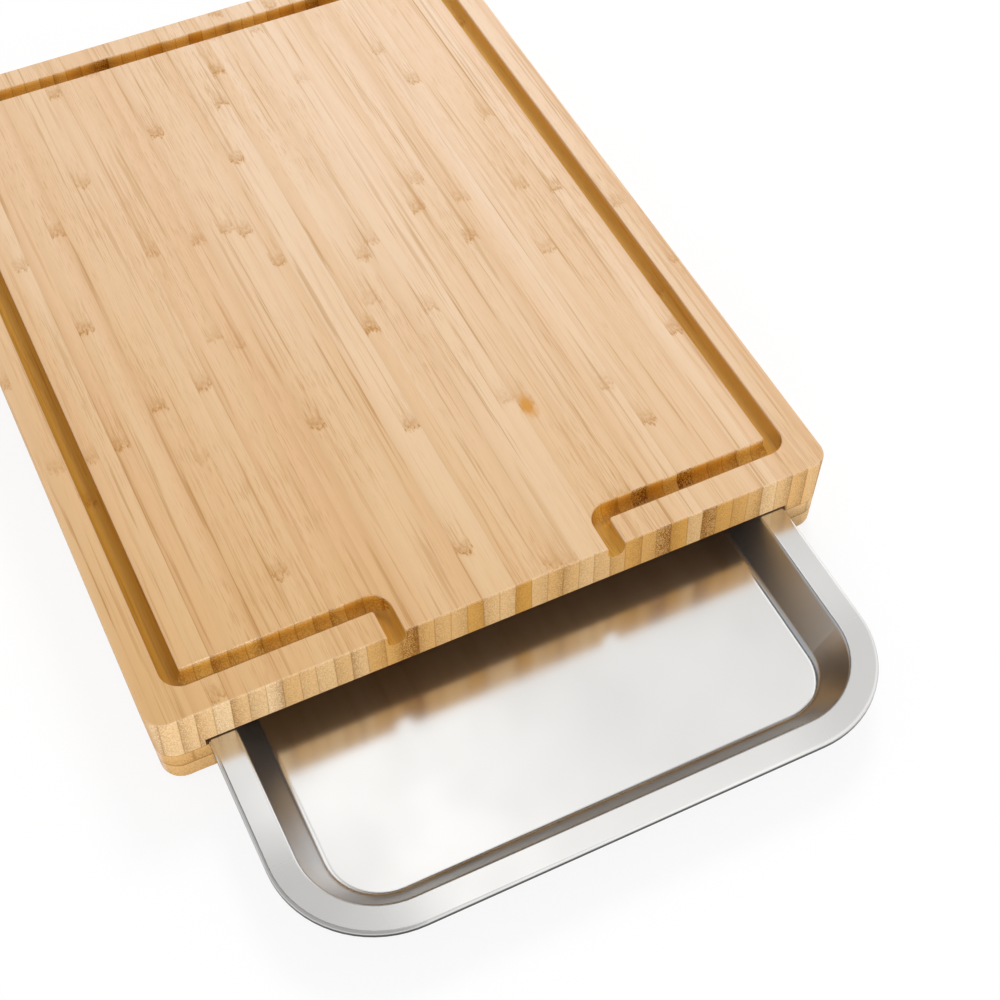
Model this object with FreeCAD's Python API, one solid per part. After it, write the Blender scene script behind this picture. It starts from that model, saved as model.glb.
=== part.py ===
import FreeCAD, Part
import math
import os

# Bamboo cutting board with a stainless steel tray that slides out of its front.
# Millimetres. X runs along the front edge, Y from front to back, Z up. The origin lies on
# the table, under the middle of the board and its tray, pulled out as far as at rest.

# the board as a whole
board_width = 300.0
board_depth = 392.0
corner_radius = 9.0
side_draft = 3.5            # degrees that the two long sides lean inwards on their way down
top_edge_round = 0.9
bottom_edge_round = 2.5

# the slab, one panel of upright bamboo strips, and the plies glued under it
slab_thickness = 23.4
upper_ply = 7.6
lower_ply = 10.0
rear_rail_depth = 30.0
inner_edge_round = 1.5      # the runners' and the rail's lower edges round the bay

# the juice groove and the two spouts that lead from it out of the front
groove_width = 7.8
groove_depth = 7.4
groove_edge_ease = 0.4
groove_side_inset = 12.1    # from the board's side to the groove's outer edge
groove_front_inset = 14.1
groove_back_inset = 12.1
groove_turn_radius = 5.1    # along the middle of the groove
spout_spacing = 97.0        # between the middles of the two spouts

# the recess under the slab, whose edges are the slots that the tray's rim runs in
recess_height = 3.8
recess_corner_radius = 14.0
rim_side_clearance = 1.0
tray_end_clearance = 2.0

# the tray, pressed from one sheet
tray_width = 258.0
tray_length = 358.0
tray_depth = 15.0           # from the rim's top to the floor's top
tray_corner_radius = 45.0
sheet = 0.7
rim_width = 10.6            # from the lip's outer face to the edge of the bowl
lip_height = 2.8
lip_bend_radius = 1.4
rim_bend_radius = 1.7
wall_lean = 36.0            # degrees from upright
floor_bend_radius = 3.5
rim_rest_clearance = 0.2    # under the lip, above the runners
runner_overlap = 9.0        # how far the tray's rim lies on each runner
tray_pull = 106.4           # how far the tray stands out of the front at rest

# push-in rubber feet
foot_diameter = 12.0
foot_proud = 1.5
foot_edge_round = 1.0
foot_end_inset = 22.0       # from the board's front and back to a foot's middle
stem_diameter = 5.0
stem_length = 7.0
stem_clearance = 0.1

# levels and places that follow from the sizes above
wood_bottom = foot_proud
ply_joint = wood_bottom + lower_ply
slab_joint = ply_joint + upper_ply
bay_width = tray_width - 2 * runner_overlap
top = slab_joint + slab_thickness
wood_height = top - wood_bottom
total_length = board_depth + tray_pull
board_front = tray_pull - total_length / 2
board_back = total_length / 2
board_middle = (board_front + board_back) / 2
draft_inset = wood_height * math.tan(math.radians(side_draft))
rail_front = board_back - rear_rail_depth
beyond = 10.0               # how far a cutting tool reaches past what it cuts
near_zero = 1e-4
swing = FreeCAD.Vector(0, 0, 1)


def place(x, y, z):
    return FreeCAD.Vector(x, y, z)


def block(x_low, x_high, y_low, y_high, z_low, z_high):
    corner = place(x_low, y_low, z_low)
    return Part.makeBox(x_high - x_low, y_high - y_low, z_high - z_low, corner)


def line(a, b):
    return Part.LineSegment(a, b).toShape()


def arc(a, middle, b):
    return Part.Arc(a, middle, b).toShape()


def rounded_outline(width, depth, radius, y_middle, z):
    # a rectangle with round corners, walked once round from its right side
    reach_x = width / 2 - radius
    reach_y = depth / 2 - radius
    slant = radius * math.sqrt(0.5)
    edges = []
    for turn in range(4):
        # the corner's middle and the two directions that it joins
        sx = (1, -1, -1, 1)[turn]
        sy = (1, 1, -1, -1)[turn]
        on_side = place(sx * width / 2, y_middle + sy * reach_y, z)
        on_end = place(sx * reach_x, y_middle + sy * depth / 2, z)
        middle = place(sx * (reach_x + slant), y_middle + sy * (reach_y + slant), z)
        start, end = (on_side, on_end) if turn % 2 == 0 else (on_end, on_side)
        if edges:
            edges.append(line(last, start))
        else:
            first = start
        edges.append(arc(start, middle, end))
        last = end
    edges.append(line(last, first))
    return Part.Wire(edges)


def edges_at_height(shape, z):
    return [e for e in shape.Edges if max(abs(e.BoundBox.ZMin - z), abs(e.BoundBox.ZMax - z)) < near_zero]


def board_block():
    # the outer form of the whole board: its sides lean in, its front and back are upright
    upper = rounded_outline(board_width, board_depth, corner_radius, board_middle, top)
    lower_width = board_width - 2 * draft_inset
    lower = rounded_outline(lower_width, board_depth, corner_radius, board_middle, wood_bottom)
    body = Part.makeLoft([lower, upper], True, True)
    body = body.makeFillet(top_edge_round, edges_at_height(body, top))
    return body.makeFillet(bottom_edge_round, edges_at_height(body, wood_bottom))


def groove_section(at, across):
    # upright walls, a half-round bottom and eased top edges, open above the slab
    half = groove_width / 2
    wide = half + groove_edge_ease
    spring = top - groove_depth + half

    def point(s, z):
        return place(at.x + across.x * s, at.y + across.y * s, z)

    left = [point(-wide, top + beyond), point(-wide, top), point(-half, top - groove_edge_ease)]
    left.append(point(-half, spring))
    right = [point(half, spring), point(half, top - groove_edge_ease), point(wide, top)]
    right.append(point(wide, top + beyond))
    edges = [line(a, b) for a, b in zip(left, left[1:])]
    edges.append(arc(left[-1], point(0, top - groove_depth), right[0]))
    edges += [line(a, b) for a, b in zip(right, right[1:])]
    edges.append(line(right[-1], left[0]))
    return Part.Face(Part.Wire(edges))


def groove_tools(corners):
    # one tool for each straight run between the corners, and one for each quarter turn
    tools = []
    start = corners[0]
    for index in range(1, len(corners)):
        corner = corners[index]
        ahead = (corner - start).normalize()
        across = swing.cross(ahead)
        if index == len(corners) - 1:
            tools.append(groove_section(start, across).extrude(corner - start))
            break
        onward = (corners[index + 1] - corner).normalize()
        side = 1 if ahead.cross(onward).z > 0 else -1
        turn_start = corner - ahead * groove_turn_radius
        section = groove_section(turn_start, across)
        tools.append(groove_section(start, across).extrude(turn_start - start))
        hub = turn_start + across * (side * groove_turn_radius)
        tools.append(section.revolve(hub, swing, side * 90))
        start = corner + onward * groove_turn_radius
    return tools


def juice_groove():
    half = groove_width / 2
    side = board_width / 2 - groove_side_inset - half
    near = board_front + groove_front_inset + half
    far = board_back - groove_back_inset - half
    spout = spout_spacing / 2
    mouth = board_front - beyond
    route = [(-spout, mouth), (-spout, near), (-side, near), (-side, far)]
    route += [(side, far), (side, near), (spout, near), (spout, mouth)]
    return groove_tools([place(x, y, 0) for x, y in route])


def rim_recess():
    # a shallow pocket, open at the front, as long as the tray
    width = tray_width + 2 * rim_side_clearance
    length = tray_length + tray_end_clearance + beyond
    middle = board_front - beyond + length / 2
    outline = rounded_outline(width, length, recess_corner_radius, middle, slab_joint - beyond)
    pocket = Part.Face(outline).extrude(place(0, 0, beyond + recess_height))
    # the pocket's rounded front end lies outside the board, so its sides run out straight
    mouth_depth = beyond + recess_corner_radius
    mouth = block(-width / 2, width / 2, board_front - beyond, board_front - beyond + mouth_depth,
                  slab_joint - beyond, slab_joint + recess_height)
    return [pocket, mouth]


def top_board(body):
    slab = body.common(block(-board_width, board_width, -board_depth, board_depth, slab_joint, top + beyond))
    return slab.cut(juice_groove() + rim_recess())


def foot_middles():
    low_half = (board_width / 2 - draft_inset + bay_width / 2) / 2
    ends = {"front": board_front + foot_end_inset, "rear": board_back - foot_end_inset}
    sides = {"left": -low_half, "right": low_half}
    return {end + "_" + side: (sides[side], ends[end]) for end in ends for side in sides}


def foot_holes():
    radius = stem_diameter / 2 + stem_clearance
    depth = stem_length + stem_clearance
    starts = [place(x, y, wood_bottom - beyond) for x, y in foot_middles().values()]
    return [Part.makeCylinder(radius, depth + beyond, start) for start in starts]


def ease_bay_edge(ply, on_bay_side):
    # rounds the lower edge that looks into the bay
    bay_edges = [e for e in edges_at_height(ply, wood_bottom) if on_bay_side(e.BoundBox)]
    return ply.makeFillet(inner_edge_round, bay_edges)


def runner_plies(body, side):
    # side is -1 for the left runner and 1 for the right one
    x_low, x_high = sorted((side * bay_width / 2, side * board_width))
    upper = body.common(block(x_low, x_high, -board_depth, board_depth, ply_joint, slab_joint))
    lower = body.common(block(x_low, x_high, -board_depth, board_depth, wood_bottom - beyond, ply_joint))

    def on_bay_side(box):
        return max(abs(box.XMin - side * bay_width / 2), abs(box.XMax - side * bay_width / 2)) < near_zero

    lower = ease_bay_edge(lower, on_bay_side)
    return upper, lower.cut(foot_holes())


def rear_rail_plies(body):
    half = bay_width / 2
    upper = body.common(block(-half, half, rail_front, board_depth, ply_joint, slab_joint))
    lower = body.common(block(-half, half, rail_front, board_depth, wood_bottom - beyond, ply_joint))

    def on_bay_side(box):
        return max(abs(box.YMin - rail_front), abs(box.YMax - rail_front)) < near_zero

    return upper, ease_bay_edge(lower, on_bay_side)


def bent_sheet(start, heading, steps):
    # The section of a bent sheet, drawn as its bends are made. It starts at a point of the
    # skin on the left of its heading. A step is a flat length, or a bend of so many degrees
    # to the left or, if negative, to the right, with the left skin's radius.
    def side_point(left, angle):
        return place(left.x + sheet * math.sin(angle), 0, left.z - sheet * math.cos(angle))

    left_edges = []
    right_edges = []
    left = start
    angle = math.radians(heading)
    for kind, amount, radius in steps:
        right = side_point(left, angle)
        if kind == "flat":
            move = place(amount * math.cos(angle), 0, amount * math.sin(angle))
            left_edges.append(line(left, left + move))
            right_edges.append(line(right, right + move))
            left = left + move
            continue
        sign = 1 if amount > 0 else -1
        hub = place(left.x - sign * radius * math.sin(angle), 0, left.z + sign * radius * math.cos(angle))
        turned = angle + math.radians(amount)
        halfway = angle + math.radians(amount) / 2

        def on_arc(size, a):
            return place(hub.x + sign * size * math.sin(a), 0, hub.z - sign * size * math.cos(a))

        under = radius + sign * sheet
        left_edges.append(arc(left, on_arc(radius, halfway), on_arc(radius, turned)))
        right_edges.append(arc(right, on_arc(under, halfway), on_arc(under, turned)))
        left = on_arc(radius, turned)
        angle = turned
    first_cap = line(start, side_point(start, math.radians(heading)))
    last_cap = line(left, side_point(left, angle))
    wire = Part.Wire(Part.__sortEdges__(left_edges + right_edges + [first_cap, last_cap]))
    return Part.Face(wire), left.x


def tray_section():
    # From the lip's lower end over the rim and down into the bowl, as far as the flat floor.
    # It is drawn with the lip's outer face at x = 0 and the tray's middle at positive x.
    rim_top = slab_joint + rim_rest_clearance + lip_height
    lean = math.radians(wall_lean)
    bend = 90 - wall_lean
    top_bend_drop = rim_bend_radius * (1 - math.sin(lean))
    floor_bend_rise = floor_bend_radius * (1 - math.sin(lean))
    wall = (tray_depth - top_bend_drop - floor_bend_rise) / math.cos(lean)
    steps = [("flat", lip_height - lip_bend_radius, 0),
             ("bend", -90, lip_bend_radius),
             ("flat", rim_width - lip_bend_radius, 0),
             ("bend", -bend, rim_bend_radius),
             ("flat", wall, 0),
             ("bend", bend, floor_bend_radius)]
    return bent_sheet(place(0, 0, rim_top - lip_height), 90, steps)


def pressed_tray():
    section, floor_start = tray_section()
    floor_top = slab_joint + rim_rest_clearance + lip_height - tray_depth
    half_width = tray_width / 2
    half_length = tray_length / 2
    middle_y = board_front - tray_pull + half_length
    run_x = half_width - tray_corner_radius
    run_y = half_length - tray_corner_radius

    pieces = []
    for turn in range(4):
        # left side, front, right side and back, each with the corner that follows it
        along, out = (run_y, half_width) if turn % 2 == 0 else (run_x, half_length)
        piece = section.copy()
        piece.translate(place(-out, along, 0))
        straight = piece.extrude(place(0, -2 * along, 0))
        piece.translate(place(0, -2 * along, 0))
        corner = piece.revolve(place(tray_corner_radius - out, -along, 0), swing, 90)
        for solid in (straight, corner):
            solid.rotate(place(0, 0, 0), swing, 90 * turn)
            pieces.append(solid)
    floor_width = tray_width - 2 * floor_start
    floor_length = tray_length - 2 * floor_start
    floor_corner = tray_corner_radius - floor_start
    outline = rounded_outline(floor_width, floor_length, floor_corner, 0, floor_top - sheet)
    floor = Part.Face(outline).extrude(place(0, 0, sheet))
    tray = floor.multiFuse(pieces).removeSplitter()
    tray.translate(place(0, middle_y, 0))
    return tray


def rubber_foot(x, y):
    # a low round head with a rolled lower edge, and the stem that holds it in the wood
    head = foot_diameter / 2
    stem = stem_diameter / 2
    roll = foot_edge_round
    slant = roll * math.sqrt(0.5)
    roll_start = place(head - roll, 0, 0)
    roll_middle = place(head - roll + slant, 0, roll - slant)
    roll_end = place(head, 0, roll)
    outline = [line(place(0, 0, 0), roll_start),
               arc(roll_start, roll_middle, roll_end),
               line(roll_end, place(head, 0, foot_proud)),
               line(place(head, 0, foot_proud), place(stem, 0, foot_proud)),
               line(place(stem, 0, foot_proud), place(stem, 0, foot_proud + stem_length)),
               line(place(stem, 0, foot_proud + stem_length), place(0, 0, foot_proud + stem_length)),
               line(place(0, 0, foot_proud + stem_length), place(0, 0, 0))]
    foot = Part.Face(Part.Wire(outline)).revolve(place(0, 0, 0), swing, 360)
    foot.translate(place(x, y, 0))
    return foot


def build():
    body = board_block()
    nodes = {"top_board": top_board(body), "tray": pressed_tray()}
    for name, side in (("left", -1), ("right", 1)):
        upper, lower = runner_plies(body, side)
        nodes[name + "_runner_upper_ply"] = upper
        nodes[name + "_runner_lower_ply"] = lower
    upper, lower = rear_rail_plies(body)
    nodes["rear_rail_upper_ply"] = upper
    nodes["rear_rail_lower_ply"] = lower
    for name, (x, y) in foot_middles().items():
        nodes[name + "_foot"] = rubber_foot(x, y)
    return nodes


os.makedirs("parts", exist_ok=True)
for node, shape in build().items():
    shape.exportStep("parts/" + node + ".step")
    print(node, "solids", len(shape.Solids), "valid", shape.isValid(), "volume", round(shape.Volume, 1))
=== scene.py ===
import bpy
from mathutils import Matrix, Vector


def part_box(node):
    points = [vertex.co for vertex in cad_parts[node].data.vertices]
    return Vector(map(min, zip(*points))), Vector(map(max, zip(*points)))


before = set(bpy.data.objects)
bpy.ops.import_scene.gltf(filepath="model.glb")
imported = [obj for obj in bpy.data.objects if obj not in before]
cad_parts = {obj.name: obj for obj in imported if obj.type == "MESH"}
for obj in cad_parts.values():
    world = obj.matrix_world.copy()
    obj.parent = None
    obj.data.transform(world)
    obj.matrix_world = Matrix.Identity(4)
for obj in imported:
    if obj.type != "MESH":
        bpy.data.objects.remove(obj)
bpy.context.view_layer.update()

# A bamboo cutting board with a pressed steel tray that slides out of its front.
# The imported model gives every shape. This script gives it finishes, light and a camera.

mm = 0.001

slabLow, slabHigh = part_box("top_board")
plyLow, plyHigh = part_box("left_runner_upper_ply")
trayLow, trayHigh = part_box("tray")
print("frame loaded:", len(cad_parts), "pieces")


def sRgb(hexCode):
    # a colour as a maker would pick it, turned to the linear values that shaders take
    parts = [int(hexCode[i:i + 2], 16) / 255 for i in (0, 2, 4)]
    linear = [c / 12.92 if c <= 0.04045 else ((c + 0.055) / 1.055) ** 2.4 for c in parts]
    return (*linear, 1.0)


class Tree:
    # a thin wrapper that adds shader nodes and links them by the names or numbers of their sockets
    def __init__(self, nodeTree):
        self.tree = nodeTree
        self.tree.nodes.clear()

    def add(self, kind, sockets=None, **settings):
        node = self.tree.nodes.new(kind)
        for name, value in settings.items():
            setattr(node, name, value)
        for name, value in (sockets or {}).items():
            self.feed(node.inputs[name], value)
        return node

    def feed(self, socket, value):
        if isinstance(value, bpy.types.NodeSocket):
            self.tree.links.new(value, socket)
        else:
            socket.default_value = value

    def maths(self, operation, a, b=0.0):
        return self.add("ShaderNodeMath", {0: a, 1: b}, operation=operation).outputs[0]

    def plus(self, a, b):
        return self.maths("ADD", a, b)

    def minus(self, a, b):
        return self.maths("SUBTRACT", a, b)

    def times(self, a, b):
        return self.maths("MULTIPLY", a, b)

    def absolute(self, a):
        return self.maths("ABSOLUTE", a)

    def larger(self, a, b):
        return self.maths("MAXIMUM", a, b)

    def smaller(self, a, b):
        return self.maths("MINIMUM", a, b)

    def ramp(self, kind, value, low, high, toLow, toHigh):
        sockets = {"Value": value, "From Min": low, "From Max": high,
                   "To Min": toLow, "To Max": toHigh}
        node = self.add("ShaderNodeMapRange", sockets, interpolation_type=kind)
        return node.outputs["Result"]

    def fade(self, value, low, high, toLow=0.0, toHigh=1.0):
        # a smooth step from toLow at low to toHigh at high
        return self.ramp("SMOOTHSTEP", value, low, high, toLow, toHigh)

    def span(self, value, low, high, toLow=0.0, toHigh=1.0):
        # the same along a straight line
        return self.ramp("LINEAR", value, low, high, toLow, toHigh)

    def mix(self, share, a, b, blend="MIX"):
        # inputs 6 and 7 and output 2 are the ones for colours
        node = self.add("ShaderNodeMix", data_type="RGBA", blend_type=blend, clamp_factor=True)
        self.feed(node.inputs["Factor"], share)
        self.feed(node.inputs[6], a)
        self.feed(node.inputs[7], b)
        return node.outputs[2]

    def washed(self, share, colour, wash):
        # a colour multiplied by another one, by a share of its strength
        return self.mix(share, colour, self.mix(1.0, colour, wash, "MULTIPLY"))

    def scaled(self, vector, scale, location=(0, 0, 0)):
        sockets = {"Vector": vector, "Scale": scale, "Location": location}
        return self.add("ShaderNodeMapping", sockets).outputs["Vector"]

    def noise(self, vector, scale=1.0, detail=2.0, roughness=0.5):
        sockets = {"Vector": vector, "Scale": scale, "Detail": detail, "Roughness": roughness}
        return self.add("ShaderNodeTexNoise", sockets, noise_dimensions="3D").outputs["Fac"]

    def bump(self, strength, distance, height):
        sockets = {"Strength": strength, "Distance": distance, "Height": height}
        return self.add("ShaderNodeBump", sockets).outputs[0]

    def chance(self, value, seed):
        # a random number from 0 to 1 that stays the same for one value
        shifted = self.plus(value, seed)
        node = self.add("ShaderNodeTexWhiteNoise", {"W": shifted}, noise_dimensions="1D")
        return node.outputs["Value"]

    def parts(self, vector):
        return self.add("ShaderNodeSeparateXYZ", {"Vector": vector}).outputs[:3]

    def surface(self):
        # a point's place in millimetres, and the normal there
        coords = self.add("ShaderNodeTexCoord").outputs
        return self.scaled(coords["Object"], (1 / mm, 1 / mm, 1 / mm)), coords["Normal"]

    def finish(self, bump, sockets):
        # the shader that ends a material
        shader = self.add("ShaderNodeBsdfPrincipled", {**sockets, "Normal": bump})
        self.add("ShaderNodeOutputMaterial", {"Surface": shader.outputs[0]})


def newMaterial(name):
    material = bpy.data.materials.new(name)
    material.use_nodes = True
    return material, Tree(material.node_tree)


# Bamboo, as the slab and the plies share it. A fade is given as where it starts and ends, and
# then, unless it goes from 0 to 1, what it goes from and to. Ink is how much of a dark colour shows.
bamboo = {
    "cream": sRgb("F6E1CC"),
    "honey": sRgb("E4BD94"),
    "rose": sRgb("EDC7A8"),
    "fibre": sRgb("B98A4E"),
    "markBrown": sRgb("B9812F"),
    "endPale": sRgb("F8D8A9"),
    "endGold": sRgb("D8A04A"),
    "endDark": sRgb("885410"),
    "leftDense": 0.45,                      # the share of strips that are denser on their left
    "honeyByTone": (0.0, 1.0, 0.28, 0.58),  # from the palest strip to the deepest
    "roseByHue": (0.4, 1.0),
    "roseShare": 0.4,
    "honeyByBroad": (0.35, 0.7, 0.0, 0.22),
    "honeyByCloud": (0.35, 0.7, 0.0, 0.2),
    "shadeByDense": (0.3, 1.0),             # the dense side of a strip is darker
    "shadeByHue": (0.0, 1.0, 0.05, 0.22),
    "lineByStreak": (0.53, 0.66),
    "lineByDense": (0.0, 1.0, 0.15, 0.64),
    "hairByFine": (0.5, 0.7),
    "hairByCloud": (0.35, 0.65, 0.12, 0.48),
    "glueByGap": (0.05, 0.01),              # the line between two strips
    "glueByStreak": (0.4, 0.62, 0.0, 0.7),
    "glueByBroad": (0.3, 0.6, 0.35, 1.0),
    "glueInk": (0.1, 0.75),                 # from the faintest glue line to the clearest
    "goldByTone": (0.0, 1.0, -0.05, 0.55),  # from here on, the end grain
    "crowdPower": 1.7,
    "crowdByHue": (0.0, 1.0, 0.25, 1.0),
    "crowdDots": 0.12,
    "crowdInk": 0.26,
    "dotBySpeck": (0.45, 0.6),
    "dotByCrowd": (0.0, 1.0, 0.26, 0.5),
    "extraBase": 0.6,
    "endGlueByGap": (0.06, 0.0, 0.0, 0.4),
    "ridgeHeight": 0.00012,                 # m, the relief of the grain
    "ridgeStrength": 0.3,
    "fineRelief": 0.5,
    "bundleRelief": 0.5,
    "glueRelief": (0.03, 0.0, 0.0, 0.5),
    "roughByStreak": (0.3, 0.7, 0.4, 0.52),
    "endRougher": 0.12,
    "shine": 0.25,
    "bundleScale": (1.15, 0.012, 1.15),
    "bundleRandomness": 0.9,
}

# The noises in the wood: their scale across the fibres, along them and upwards, in repeats per
# millimetre, and then their detail and their roughness.
noises = {
    "cloud": ((0.03, 0.008, 0.03), 1.0, 0.5),
    "broad": ((0.16, 0.004, 0.16), 1.0, 0.5),
    "streak": ((0.62, 0.011, 0.62), 3.0, 0.6),
    "fine": ((2.0, 0.07, 2.0), 2.0, 0.65),
    "speck": ((2.1, 0.03, 2.1), 1.0, 0.5),
    "ragged": ((0.55, 0.14, 0.55), 3.0, 0.65),
    "freckle": ((1.1, 0.45, 1.1), 2.0, 0.6),
    "lean": ((0.09, 0.0, 0.03), 0.0, 0.5),
    "knotEdge": ((0.3, 0.2, 0.3), 2.0, 0.5),
}

# Each strip draws its own values, and a seed keeps one kind of draw apart from the next.
seeds = {
    "tone": 3.1,
    "hue": 17.7,
    "turn": 31.3,
    "glue": 91.3,
    "spacing": 71.7,
    "shift": 47.9,
    "bow": 23.3,
    "thickness": 57.1,
    "strength": 63.1,
}


def pick(t, strip, name, low, high):
    # a value from low to high that a strip draws for itself
    return t.span(t.chance(strip, seeds[name]), 0.0, 1.0, low, high)


def woodNoise(t, place, name):
    scale, detail, roughness = noises[name]
    return t.noise(t.scaled(place, scale), 1.0, detail, roughness)


def grain(t, place, w):
    # What every cut through the cane shares. w counts strips, and place is in millimetres.
    # Fibres run along y, so each noise is stretched that way: streaks on top, dots on the ends.
    strip = t.maths("FLOOR", w)
    g = {"strip": strip, "offCentre": t.minus(t.minus(w, strip), 0.5)}
    g["gap"] = t.minus(0.5, t.absolute(g["offCentre"]))
    g["nearJoint"] = t.maths("FLOOR", t.plus(w, 0.5))
    g["tone"] = t.chance(strip, seeds["tone"])
    g["hue"] = t.chance(strip, seeds["hue"])
    turned = t.maths("SIGN", t.minus(t.chance(strip, seeds["turn"]), bamboo["leftDense"]))
    g["dense"] = t.span(t.times(g["offCentre"], turned), -0.5, 0.5)
    for name in ("cloud", "broad", "streak", "fine", "speck"):
        g[name] = woodNoise(t, place, name)
    sockets = {"Vector": t.scaled(place, bamboo["bundleScale"]),
               "Randomness": bamboo["bundleRandomness"]}
    bundle = t.add("ShaderNodeTexVoronoi", sockets, voronoi_dimensions="3D", feature="F1")
    g["bundle"] = bundle.outputs["Distance"]
    return g


def longGrain(t, g):
    # the colour of a face along the fibres
    base = t.mix(t.span(g["tone"], *bamboo["honeyByTone"]), bamboo["cream"], bamboo["honey"])
    rose = t.times(t.fade(g["hue"], *bamboo["roseByHue"]), bamboo["roseShare"])
    base = t.mix(rose, base, bamboo["rose"])
    base = t.mix(t.fade(g["broad"], *bamboo["honeyByBroad"]), base, bamboo["honey"])
    base = t.mix(t.fade(g["cloud"], *bamboo["honeyByCloud"]), base, bamboo["honey"])

    # a darker side on each strip, with clear lines and faint hairs
    shade = t.times(t.fade(g["dense"], *bamboo["shadeByDense"]),
                    t.span(g["hue"], *bamboo["shadeByHue"]))
    lines = t.times(t.fade(g["streak"], *bamboo["lineByStreak"]),
                    t.span(g["dense"], *bamboo["lineByDense"]))
    hairs = t.times(t.fade(g["fine"], *bamboo["hairByFine"]),
                    t.fade(g["cloud"], *bamboo["hairByCloud"]))
    base = t.mix(t.larger(shade, t.larger(lines, hairs)), base, bamboo["fibre"])

    # glue lines between the strips
    glue = t.times(t.fade(g["gap"], *bamboo["glueByGap"]),
                   t.fade(g["streak"], *bamboo["glueByStreak"]))
    glue = t.times(glue, pick(t, g["nearJoint"], "glue", *bamboo["glueInk"]))
    glue = t.times(glue, t.fade(g["broad"], *bamboo["glueByBroad"]))
    return t.mix(glue, base, bamboo["fibre"])


# The brown mark that a joint of the cane leaves across one strip, in millimetres along it.
caneMark = {
    "spacing": (190.0, 310.0),
    "shift": 900.0,                 # the most that a strip's marks are moved along it
    "bow": (-10.0, 10.0),           # how far a mark would curve at a whole strip's width
    "ragged": 12.0,                 # how far the noise may pull its edges
    "thickness": (1.2, 3.2),        # the row of dark flecks, to each side of its middle
    "core": 0.3,
    "rowByFreckle": (0.4, 0.56, 0.05, 0.85),
    "patchStart": (-2.5, 0.5),      # where the patch and the tail come and go, past the row
    "patchEnd": (10.0, 3.0),
    "patchByFreckle": (0.3, 0.65, 0.2, 0.55),
    "tailStart": (-3.0, 0.0),
    "tailEnd": (32.0, 4.0),
    "tailByFine": (0.42, 0.62, 0.0, 0.35),
    "strength": (0.4, 1.0),
    "onPly": 0.7,
}


def caneMarks(t, g, place, y):
    # a bowed row of dark flecks, a softer freckled patch beside it and a tail of fine lines
    spacing = pick(t, g["strip"], "spacing", *caneMark["spacing"])
    shifted = t.plus(y, t.times(t.chance(g["strip"], seeds["shift"]), caneMark["shift"]))
    away = t.minus(t.maths("FLOORED_MODULO", shifted, spacing), t.times(spacing, 0.5))
    bow = t.times(g["offCentre"], g["offCentre"])
    bow = t.times(bow, pick(t, g["strip"], "bow", *caneMark["bow"]))
    ragged = t.times(t.minus(woodNoise(t, place, "ragged"), 0.5), caneMark["ragged"])
    away = t.plus(away, t.plus(bow, ragged))
    freckle = woodNoise(t, place, "freckle")

    thickness = pick(t, g["strip"], "thickness", *caneMark["thickness"])
    row = t.fade(t.absolute(away), thickness, caneMark["core"])
    row = t.times(row, t.fade(freckle, *caneMark["rowByFreckle"]))
    patch = t.times(t.fade(away, *caneMark["patchStart"]), t.fade(away, *caneMark["patchEnd"]))
    patch = t.times(patch, t.fade(freckle, *caneMark["patchByFreckle"]))
    tail = t.times(t.fade(away, *caneMark["tailEnd"]), t.fade(away, *caneMark["tailStart"]))
    tail = t.times(tail, t.fade(g["fine"], *caneMark["tailByFine"]))
    mark = t.larger(row, t.larger(patch, tail))
    return t.times(mark, pick(t, g["strip"], "strength", *caneMark["strength"]))


def endGrain(t, g, golden, extra=0.0):
    # Cut across the fibres: their bundles are dots that crowd and darken to one side of a strip.
    # golden deepens the base, and extra is more ink for a dark strip.
    tone = t.plus(t.span(g["tone"], *bamboo["goldByTone"]), golden)
    base = t.mix(tone, bamboo["endPale"], bamboo["endGold"])
    crowd = t.maths("POWER", g["dense"], bamboo["crowdPower"])
    crowd = t.times(crowd, t.span(g["hue"], *bamboo["crowdByHue"]))
    dots = t.fade(t.plus(g["speck"], t.times(crowd, bamboo["crowdDots"])), *bamboo["dotBySpeck"])
    ink = t.times(dots, t.span(crowd, *bamboo["dotByCrowd"]))
    ink = t.plus(ink, t.times(crowd, bamboo["crowdInk"]))
    ink = t.plus(ink, t.times(extra, t.plus(dots, bamboo["extraBase"])))
    base = t.mix(ink, base, bamboo["endDark"])
    return t.mix(t.fade(g["gap"], *bamboo["endGlueByGap"]), base, bamboo["endDark"])


def woodShader(t, g, colour, wearAndHighlight, onEnd):
    # an eased edge is made pale, partly rubbed pale by use and partly a painted highlight along it,
    # and end grain is duller
    colour = t.mix(wearAndHighlight, colour, bamboo["cream"])
    height = t.plus(t.times(g["fine"], bamboo["fineRelief"]),
                    t.times(g["bundle"], bamboo["bundleRelief"]))
    height = t.minus(height, t.fade(g["gap"], *bamboo["glueRelief"]))
    bump = t.bump(bamboo["ridgeStrength"], bamboo["ridgeHeight"], height)
    rough = t.span(g["streak"], *bamboo["roughByStreak"])
    rough = t.plus(rough, t.times(onEnd, bamboo["endRougher"]))
    t.finish(bump, {"Base Color": colour, "Roughness": rough, "Specular IOR Level": bamboo["shine"]})


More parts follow.
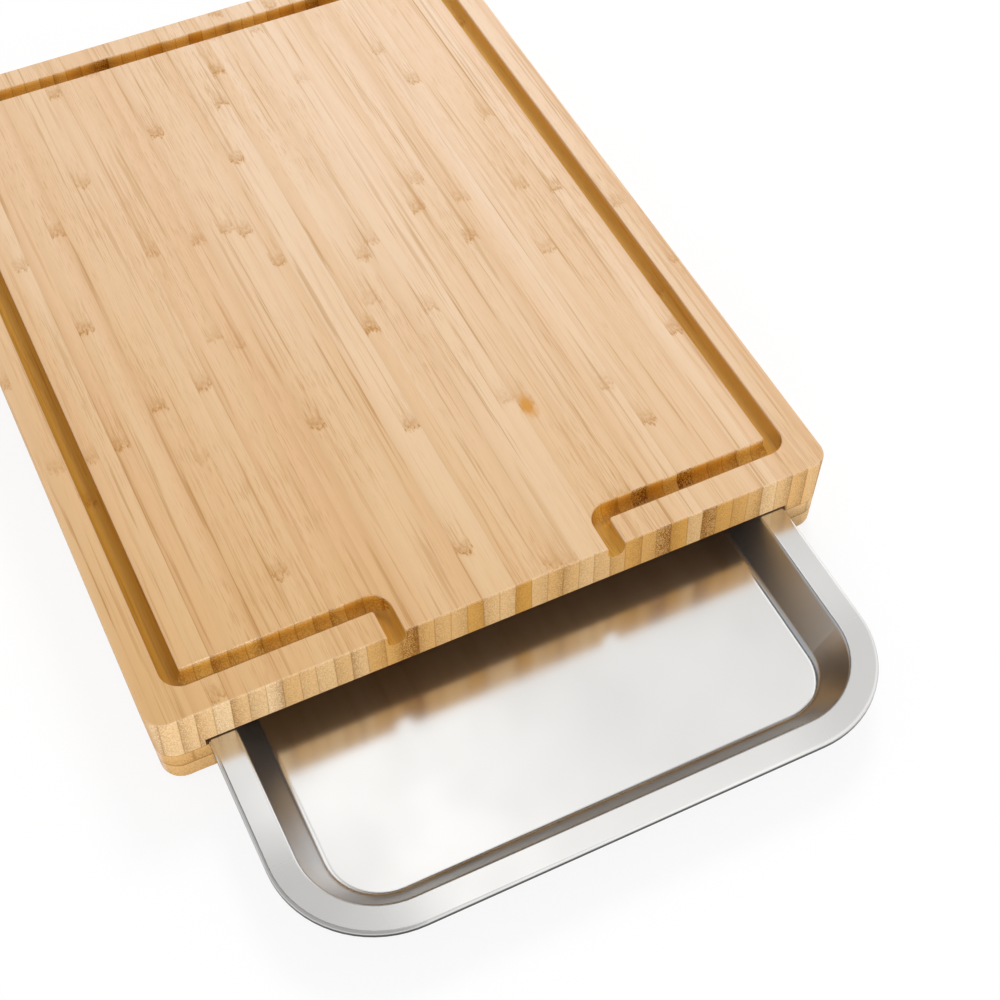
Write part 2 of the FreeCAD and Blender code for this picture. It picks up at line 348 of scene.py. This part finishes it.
# The slab, in millimetres from the model's origin.
slab = {
    "stripPitch": 7.095,            # one upright strip
    "firstJoint": -138.8,           # where one glue line lies
    "jointLean": 1.6,               # how far the joints lean on the end grain
    "darkStrips": (13, 29, 32),     # counted from the first joint
    "darkInk": 0.42,
    "markFacing": (0.5, 0.9),       # how far up a face looks before it has cane marks
    "knot": (48.6, -60.0),          # its middle
    "knotScale": (0.26, 0.14),      # one over its size, across and along
    "knotRagged": 1.2,
    "knotInk": (1.3, 0.2, 0.0, 0.85),
    "knotOrange": sRgb("D99A3E"),
    # how soon a slope shows end grain, on a sanded face and in the groove
    "endFacing": (0.0, 1.0, 0.35, 0.1),
    "endEdge": (0.0, 0.3),
    # the end grain is more golden in the middle than at the sides
    "goldenLeft": (-150.0, -20.0, -0.15, 0.46),
    "goldenRight": (90.0, 150.0, 1.0, 0.3),
    "grooveInset": 11.0,            # at the sides and the back the groove lies further in
    "grooveFront": 0.15,
    "grooveEdge": (0.0, 0.1),
    "grooveTop": (0.2, 2.5),        # depths where its colour comes and where it goes
    "grooveFloor": (9.0, 8.5),
    "grooveAcross": (-150.0, 150.0),
    # the groove's tints: partly the milled wood's own browner colour, partly painted shade in the
    # groove
    "grooveLeftTintAndShade": sRgb("E4D07A"),
    "grooveRightTintAndShade": sRgb("EEDB8A"),
    "grooveEndTintAndShade": sRgb("FBEEA4"),
    "recessPaintedShade": sRgb("D6CCC3"),  # painted shade under the slab, where the tray slides
    "recessFacing": (-0.5, -0.9),
    "paintedSheenTint": sRgb("E8D6AE"),  # painted sheen gradient: the front left corner is tinted warmer and darker than the paler back right
    "paintedSheenByX": (-150.0, 120.0, 0.5, 0.0),
    "paintedSheenByY": (-143.0, 140.0, 0.5, 0.0),
    "paleEdgeFromTop": (0.99, 0.9),     # pale eased edges, partly rubbed by use and partly a painted highlight, look neither straight up nor sideways
    "paleEdgeFromSide": (0.1, 0.4),
    "paleEdgeByDepth": (1.0, 0.4, 0.0, 0.14),
}


def grooveShare(t, x, y, depth):
    # 1 in the milled groove, and 0 on the sanded faces round it
    fromSide = t.minus(slabHigh.x / mm - slab["grooveInset"], t.absolute(x))
    fromFront = t.minus(y, slabLow.y / mm + slab["grooveFront"])
    fromBack = t.minus(slabHigh.y / mm - slab["grooveInset"], y)
    within = t.fade(t.smaller(t.smaller(fromSide, fromFront), fromBack), *slab["grooveEdge"])
    milled = t.times(t.fade(depth, *slab["grooveTop"]), t.fade(depth, *slab["grooveFloor"]))
    return t.times(milled, within)


def knotShare(t, place):
    # a round stain with a ragged edge
    kx, ky = slab["knot"]
    sx, sy = slab["knotScale"]
    moved = t.scaled(place, (sx, sy, 0.0), (-sx * kx, -sy * ky, 0.0))
    away = t.add("ShaderNodeVectorMath", {0: moved}, operation="LENGTH").outputs["Value"]
    ragged = t.times(t.minus(woodNoise(t, place, "knotEdge"), 0.5), slab["knotRagged"])
    return t.fade(t.plus(away, ragged), *slab["knotInk"])


def darkStripInk(t, strip):
    # more ink on the few strips that are dark
    ink = 0.0
    for number in slab["darkStrips"]:
        sockets = {0: strip, 1: float(number), 2: 0.5}
        here = t.add("ShaderNodeMath", sockets, operation="COMPARE").outputs[0]
        ink = t.plus(ink, t.times(here, slab["darkInk"]))
    return ink


def slabMaterial():
    material, t = newMaterial("bamboo panel")
    place, normal = t.surface()
    x, y, z = t.parts(place)
    ny, nz = t.parts(normal)[1:]

    # upright strips, whose joints lean a little on the end grain
    lean = t.times(t.minus(woodNoise(t, place, "lean"), 0.5), slab["jointLean"])
    w = t.plus(t.minus(x, slab["firstJoint"]), lean)
    g = grain(t, place, t.times(w, 1 / slab["stripPitch"]))

    # the milled groove shows end grain sooner than the sanded faces
    depth = t.minus(slabHigh.z / mm, z)
    milled = grooveShare(t, x, y, depth)
    onEnd = t.minus(t.absolute(ny), t.span(milled, *slab["endFacing"]))
    onEnd = t.fade(onEnd, *slab["endEdge"])
    offEnd = t.minus(1.0, onEnd)

    marks = t.times(caneMarks(t, g, place, y), t.fade(nz, *slab["markFacing"]))
    top = t.mix(marks, longGrain(t, g), bamboo["markBrown"])
    top = t.mix(knotShare(t, place), top, slab["knotOrange"])
    golden = t.times(t.span(x, *slab["goldenLeft"]), t.span(x, *slab["goldenRight"]))
    end = endGrain(t, g, golden, darkStripInk(t, g["strip"]))
    colour = t.mix(onEnd, top, end)

    # the groove is browner too, partly the milled wood's own tint and partly painted shade in its
    # hollow;
    # painted shade darkens the ceiling of the recess; and a painted sheen gradient leaves the slab a
    # little warmer towards its front left corner
    # the groove's browner tint is partly the milled wood's own colour and partly painted shade in
    # the groove
    wash = t.mix(t.span(x, *slab["grooveAcross"]), slab["grooveLeftTintAndShade"], slab["grooveRightTintAndShade"])
    colour = t.washed(milled, colour, t.mix(onEnd, wash, slab["grooveEndTintAndShade"]))
    # painted shade darkens the ceiling of the recess under the slab
    under = t.times(t.fade(nz, *slab["recessFacing"]), offEnd)
    colour = t.washed(under, colour, slab["recessPaintedShade"])
    # painted sheen gradient: warmer and darker towards the front left corner, paler towards the back
    # right
    paintedSheenShare = t.plus(t.span(x, *slab["paintedSheenByX"]), t.span(y, *slab["paintedSheenByY"]))
    colour = t.washed(t.times(paintedSheenShare, offEnd), colour, slab["paintedSheenTint"])

    # painted highlight along the eased edges near the top, partly also rubbed pale by use
    wearAndHighlight = t.times(t.fade(nz, *slab["paleEdgeFromTop"]), t.fade(nz, *slab["paleEdgeFromSide"]))
    wearAndHighlight = t.times(wearAndHighlight, t.fade(depth, *slab["paleEdgeByDepth"]))
    woodShader(t, g, colour, wearAndHighlight, onEnd)
    return material


# The plies of the runners and of the rear rail, in millimetres.
ply = {
    "stripPitch": 21.3,             # one flat strip
    "upperShift": 7.37,             # strips, how far the upper ply's are moved over
    "upperDense": (0.0, 0.85),      # from the top of a ply to its lower face
    "lowerDense": (0.2, 0.8),
    "endFacing": (0.35, 0.65),
    "golden": (-150.0, 150.0, 0.35, -0.05),     # the end grain is paler on the right
    "seamInk": (0.4, 0.1, 0.0, 0.75),           # the glue lines over and under the upper ply
}


def plyMaterial():
    material, t = newMaterial("bamboo ply")
    place, normal = t.surface()
    x, y, z = t.parts(place)
    facing = t.absolute(t.parts(normal)[1])
    joint = plyLow.z / mm           # the glue line between the upper and the lower ply
    top = plyHigh.z / mm
    upper = t.maths("GREATER_THAN", z, joint)
    w = t.plus(t.times(x, 1 / ply["stripPitch"]), t.times(upper, ply["upperShift"]))
    g = grain(t, place, w)

    # a ply's strips lie flat, so their fibres crowd towards its lower face
    inUpper = t.span(z, top, joint, *ply["upperDense"])
    inLower = t.span(z, joint, 0.0, *ply["lowerDense"])
    g["dense"] = t.plus(t.times(upper, inUpper), t.times(t.minus(1.0, upper), inLower))
    onEnd = t.fade(facing, *ply["endFacing"])
    marks = t.times(caneMarks(t, g, place, y), caneMark["onPly"])
    face = t.mix(marks, longGrain(t, g), bamboo["markBrown"])
    colour = t.mix(onEnd, face, endGrain(t, g, t.span(x, *ply["golden"])))
    seam = t.smaller(t.absolute(t.minus(z, joint)), t.absolute(t.minus(z, top)))
    colour = t.mix(t.fade(seam, *ply["seamInk"]), colour, bamboo["endDark"])
    woodShader(t, g, colour, 0.0, onEnd)
    return material


# The tray. Places are in millimetres from its own middle, and heights from its top down.
steel = {
    "colour": sRgb("DBDAD8"),
    "shade": sRgb("D5D4D2"),
    "cloudScale": (0.02, 0.02, 0.02),
    "shadeByCloud": (0.3, 0.7),
    "roughByCloud": (0.35, 0.65, 0.18, 0.21),
    "satinScale": 1.4,
    "satinHeight": 0.000006,        # m, the relief that dulls the sheet
    "satinStrength": 0.2,
    "rimBelow": (2.5, 0.5),         # heights where the rim starts
    "cornerPaintedShade": sRgb("C3C2C0"),   # painted shade: the rim's corners are tinted darker than its straight runs, for their darker reflections
    "cornerX": (60.0, 105.0),       # where that starts and is full, from the middle
    "cornerY": (106.0, 146.0),
    "cornerShadeShare": 0.8,
    "cornerRougher": 0.10,
    "straightX": 84.0,              # half of the straight runs between the drawn corners
    "straightY": 134.0,
    "bendFacing": (0.97, 0.85),     # how far a face is turned before it counts as a bend
    "wallReach": (42.0, 40.0),      # the walls lie nearer to the straight runs than this
    # painted shade: the walls are tinted darker and cooler than the floor, to tone down the brown
    # wood they mirror, less so towards the front and back ends
    "wallPaintedShade": sRgb("C6CACF"),
    "wallEndPaintedShade": sRgb("DDDCDB"),
    "wallCornerY": (128.0, 150.0),
    "wallRough": 0.30,              # the drawn walls are duller than the floor
    "lipReach": (42.0, 43.0),       # and the lip further out than this
    "lipBelow": (0.8, 1.5),
    # painted shade: the turned-down lip is tinted nearly black, a dark outline round the rim
    "lipPaintedShade": sRgb("504E4C"),
}


def steelMaterial():
    material, t = newMaterial("satin steel")
    place, normal = t.surface()
    cloud = t.noise(t.scaled(place, steel["cloudScale"]))
    x, y, z = t.parts(place)
    top = trayHigh.z / mm
    fromX = t.absolute(x)
    fromY = t.absolute(t.minus(y, (trayLow.y + trayHigh.y) / 2 / mm))

    # the four drawn corners of the rim are a little rougher than its straight runs, and painted
    # shade tints them darker
    onRim = t.fade(z, *(top - below for below in steel["rimBelow"]))
    corner = t.times(t.fade(fromX, *steel["cornerX"]), t.fade(fromY, *steel["cornerY"]))
    corner = t.times(corner, onRim)
    rough = t.span(cloud, *steel["roughByCloud"])
    rough = t.plus(rough, t.times(corner, steel["cornerRougher"]))

    # reach is how far a place lies from the straight runs, so it grows towards the outline
    outX = t.larger(t.minus(fromX, steel["straightX"]), 0.0)
    outY = t.larger(t.minus(fromY, steel["straightY"]), 0.0)
    reach = t.maths("SQRT", t.plus(t.times(outX, outX), t.times(outY, outY)))
    bend = t.fade(t.absolute(t.parts(normal)[2]), *steel["bendFacing"])
    onWall = t.times(bend, t.fade(reach, *steel["wallReach"]))
    lipShadeShare = t.times(bend, t.fade(reach, *steel["lipReach"]))
    lipShadeShare = t.times(lipShadeShare, t.fade(z, *(top - below for below in steel["lipBelow"])))
    rough = t.plus(t.times(rough, t.minus(1.0, onWall)), t.times(onWall, steel["wallRough"]))

    tint = t.mix(t.span(cloud, *steel["shadeByCloud"]), steel["colour"], steel["shade"])
    # painted shade: the rim's corners are tinted darker
    tint = t.mix(t.times(corner, steel["cornerShadeShare"]), tint, steel["cornerPaintedShade"])
    # painted shade on the walls, lighter towards the front and back ends
    wallPaintedShade = t.mix(t.fade(fromY, *steel["wallCornerY"]), steel["wallPaintedShade"], steel["wallEndPaintedShade"])
    tint = t.mix(onWall, tint, wallPaintedShade)
    # painted shade: the lip is tinted nearly black
    tint = t.mix(lipShadeShare, tint, steel["lipPaintedShade"])
    satin = t.noise(place, steel["satinScale"])
    bump = t.bump(steel["satinStrength"], steel["satinHeight"], satin)
    t.finish(bump, {"Base Color": tint, "Metallic": 1.0, "Roughness": rough})
    return material


rubber = {
    "colour": sRgb("2B2A29"),
    "paler": sRgb("383736"),
    "roughness": 0.8,
    "speckScale": 2.0,
    "speckDetail": 3.0,
    "palerBySpeck": (0.3, 0.7),
    "speckHeight": 0.0001,          # m
    "speckStrength": 0.3,
}


def rubberMaterial():
    material, t = newMaterial("foot rubber")
    place = t.surface()[0]
    speck = t.noise(place, rubber["speckScale"], rubber["speckDetail"])
    bump = t.bump(rubber["speckStrength"], rubber["speckHeight"], speck)
    colour = t.mix(t.span(speck, *rubber["palerBySpeck"]), rubber["colour"], rubber["paler"])
    t.finish(bump, {"Base Color": colour, "Roughness": rubber["roughness"]})
    return material


def dress():
    own = {"top_board": slabMaterial(), "tray": steelMaterial()}
    plyFinish = plyMaterial()
    footFinish = rubberMaterial()
    for name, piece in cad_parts.items():
        finish = own.get(name) or (footFinish if name.endswith("_foot") else plyFinish)
        if not piece.material_slots:
            piece.data.materials.append(finish)
        for slot in piece.material_slots:
            slot.material = finish


dress()
print("finishes set")


# The floor, the lamps and the sky. Steel mirrors a room of its own, with a softbox overhead. An
# edge there is the normal of a plane, and where the soft step across that plane starts and ends.
studio = {
    "white": (1, 1, 1, 1),
    "floorSize": 12.0,
    "floorColour": sRgb("FBFBFB"),
    "floorWhite": 0.85,             # how much of the floor is plain white to the camera
    "skyForWood": 0.66,
    "boxGlow": 1.16,
    "boxCore": 0.40,                # how much brighter the box's left part is
    "boxLeftEdge": ((1.0, 0.0, -0.05), -0.03, 0.03),
    "boxRightEdge": ((-1.0, -0.55, 0.80), -0.10, 0.04),
    "boxFrontEdge": ((0.0, 1.0, 0.3), -0.05, 0.05),
    "boxCoreEdge": ((-1.0, 0.0, 0.24), -0.03, 0.03),
    "leftWall": 0.62,
    "leftWallEdge": ((-1.0, -0.53, 0.0), -0.05, 0.12),
    "rightWall": 1.45,
    "rightWallEdge": ((1.0, -0.27, 0.0), 0.0, 0.55),
    "backDark": 0.10,
    "keyPower": 24.0,
    "keySize": 0.9,
    "keyPlace": (0.9, 1.2, 1.9),
    "fillPower": 23.0,
    "fillSize": 1.4,
    "fillPlace": (-0.8, -2.2, 0.7),
}


def paleFloor():
    mesh = bpy.data.meshes.new("floor")
    half = studio["floorSize"] / 2
    corners = [(-half, -half, 0), (half, -half, 0), (half, half, 0), (-half, half, 0)]
    mesh.from_pydata(corners, [], [(0, 1, 2, 3)])
    floor = bpy.data.objects.new("floor", mesh)
    bpy.context.scene.collection.objects.link(floor)
    material, t = newMaterial("pale floor")
    diffuse = t.add("ShaderNodeBsdfDiffuse", {"Color": studio["floorColour"]})
    glow = t.add("ShaderNodeEmission", {"Color": studio["white"], "Strength": 1.0})
    path = t.add("ShaderNodeLightPath")
    share = t.times(path.outputs["Is Camera Ray"], studio["floorWhite"])
    both = t.add("ShaderNodeMixShader", {"Fac": share, 1: diffuse.outputs[0], 2: glow.outputs[0]})
    t.add("ShaderNodeOutputMaterial", {"Surface": both.outputs[0]})
    mesh.materials.append(material)


def studioSky():
    world = bpy.data.worlds.new("studio")
    bpy.context.scene.world = world
    world.use_nodes = True
    t = Tree(world.node_tree)
    path = t.add("ShaderNodeLightPath")
    direction = t.add("ShaderNodeTexCoord").outputs["Generated"]

    def beyond(edge):
        plane, low, high = studio[edge]
        sockets = {0: direction, 1: plane}
        dot = t.add("ShaderNodeVectorMath", sockets, operation="DOT_PRODUCT").outputs["Value"]
        return t.fade(dot, low, high)

    box = t.times(beyond("boxLeftEdge"), beyond("boxRightEdge"))
    box = t.times(box, beyond("boxFrontEdge"))
    core = t.times(beyond("boxCoreEdge"), studio["boxCore"])
    box = t.times(box, t.plus(core, studio["boxGlow"]))
    left = t.times(beyond("leftWallEdge"), studio["leftWall"] - studio["backDark"])
    right = t.times(beyond("rightWallEdge"), studio["rightWall"] - studio["backDark"])
    room = t.plus(t.larger(left, right), studio["backDark"])

    def sky(strength):
        sockets = {"Color": studio["white"], "Strength": strength}
        return t.add("ShaderNodeBackground", sockets).outputs[0]

    def choose(ray, other, own):
        sockets = {"Fac": path.outputs[ray], 1: other, 2: own}
        return t.add("ShaderNodeMixShader", sockets).outputs[0]

    # wood gets an even sky, steel mirrors the room, and the camera sees plain white
    lit = choose("Is Glossy Ray", sky(studio["skyForWood"]), sky(t.larger(box, room)))
    seen = choose("Is Camera Ray", lit, sky(1.0))
    t.add("ShaderNodeOutputWorld", {"Surface": seen})


def softLamp(name):
    # a round lamp that points at the board's middle, and that steel doesn't mirror
    lamp = bpy.data.lights.new(name, "AREA")
    lamp.shape = "DISK"
    lamp.size = studio[name + "Size"]
    lamp.energy = studio[name + "Power"]
    holder = bpy.data.objects.new(name, lamp)
    holder.location = studio[name + "Place"]
    holder.rotation_euler = (-holder.location).to_track_quat("-Z", "Y").to_euler()
    bpy.context.scene.collection.objects.link(holder)
    holder.visible_glossy = False


# The camera: where it stands, which way its right side and its top point, and its lens.
camera = {
    "place": (-0.1844, -0.5329, 0.6583),
    "right": (0.897, -0.442, 0.004),
    "up": (0.346, 0.709, 0.615),
    "focalLength": 68.29,           # mm
    "sensorWidth": 36.0,            # mm
    "shift": (-0.0327, -0.0077),
    "clip": (0.01, 30.0),
}


def aimCamera():
    lens = bpy.data.cameras.new("camera")
    lens.sensor_width = camera["sensorWidth"]
    lens.lens = camera["focalLength"]
    lens.shift_x, lens.shift_y = camera["shift"]
    lens.clip_start, lens.clip_end = camera["clip"]
    holder = bpy.data.objects.new("camera", lens)
    right = Vector(camera["right"]).normalized()
    up = Vector(camera["up"])
    up = (up - right * up.dot(right)).normalized()
    back = right.cross(up)
    turn = Matrix((right, up, back)).transposed().to_4x4()
    holder.matrix_world = Matrix.Translation(camera["place"]) @ turn
    bpy.context.scene.collection.objects.link(holder)
    bpy.context.scene.camera = holder


paleFloor()
studioSky()
softLamp("key")
softLamp("fill")
aimCamera()
bpy.context.scene.view_settings.view_transform = "Standard"
print("studio set")
